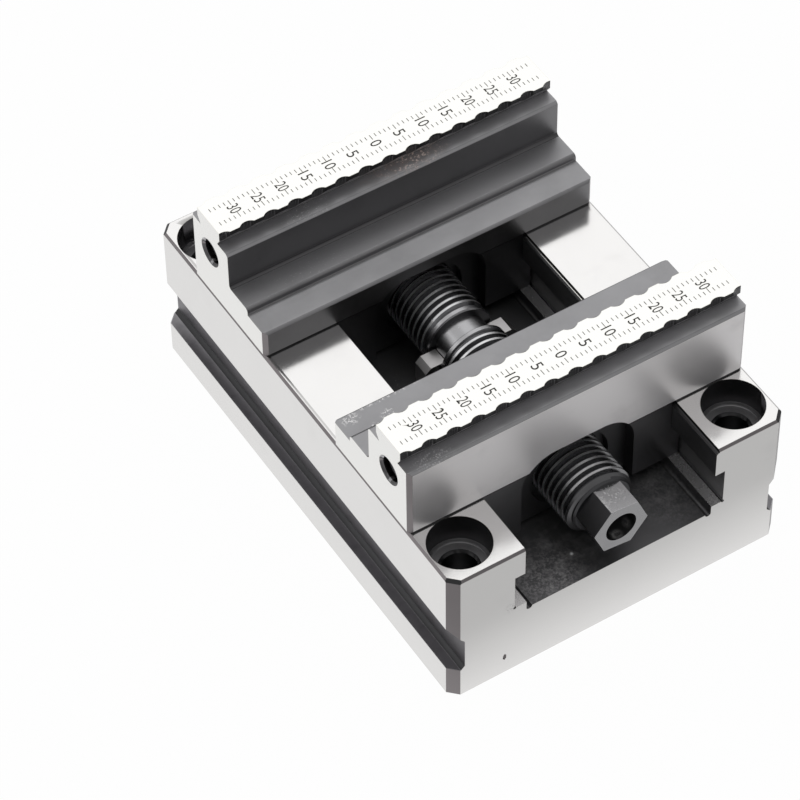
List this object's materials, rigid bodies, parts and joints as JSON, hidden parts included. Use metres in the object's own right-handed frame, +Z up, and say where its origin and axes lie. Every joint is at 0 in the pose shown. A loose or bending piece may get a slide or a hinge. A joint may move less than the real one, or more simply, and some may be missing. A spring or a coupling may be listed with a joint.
{
  "type": "self-centering vise",
  "caption": "Low bench vise whose two stepped, scale-marked jaws slide together or apart in a T-channel, driven by a hex-ended spindle with opposed threads.",
  "frame": {"origin": "centre of the body's underside", "axes": "+X across the jaws, +Y along the spindle away from its hex end, +Z up"},
  "size_m": [0.071, 0.1006, 0.052],
  "materials": {
    "body_steel": "ground",
    "jaw_steel": "ground",
    "black_steel": "black oxide, satin",
    "spindle_steel": "turned, darkened",
    "bright_steel": "ground",
    "nut_steel": "turned, darkened",
    "screw_steel": "black oxide",
    "pin_steel": "ground"
  },
  "bodies": {
    "body": {"base": "body_steel", "centre_yoke": "bright_steel", "yoke_screws": "screw_steel", "yoke_lock_washers": "pin_steel", "yoke_dowels": "pin_steel", "front_thrust_washer": "bright_steel", "rear_thrust_washer": "bright_steel"},
    "spindle": {"spindle": "spindle_steel"},
    "front_slide": {"front_jaw": "jaw_steel", "front_carriage": "black_steel", "front_nut": "nut_steel", "front_nut_lock_screw": "screw_steel", "front_jaw_screws": "screw_steel", "front_jaw_dowels": "pin_steel"},
    "rear_slide": {"rear_jaw": "jaw_steel", "rear_carriage": "black_steel", "rear_nut": "nut_steel", "rear_nut_lock_screw": "screw_steel", "rear_jaw_screws": "screw_steel", "rear_jaw_dowels": "pin_steel"}
  },
  "joints": [
    {"name": "spindle_turn", "type": "hinge", "parent": "body", "child": "spindle", "pos_m": [0, 0, 0.025], "axis": [0, 1, 0], "range_deg": [-3240.5, 2784.5]},
    {"name": "front_jaw_slide", "type": "slide", "parent": "body", "child": "front_slide", "axis": [0, -1, 0], "range_m": [-0.0116, 0.0135]},
    {"name": "rear_jaw_slide", "type": "slide", "parent": "body", "child": "rear_slide", "axis": [0, 1, 0], "range_m": [-0.0116, 0.0135]}
  ],
  "couplings": [
    {"joint": "rear_jaw_slide", "follows": "front_jaw_slide", "ratio": 1},
    {"joint": "spindle_turn", "follows": "front_jaw_slide", "rad_per_m": -4188.8}
  ]
}
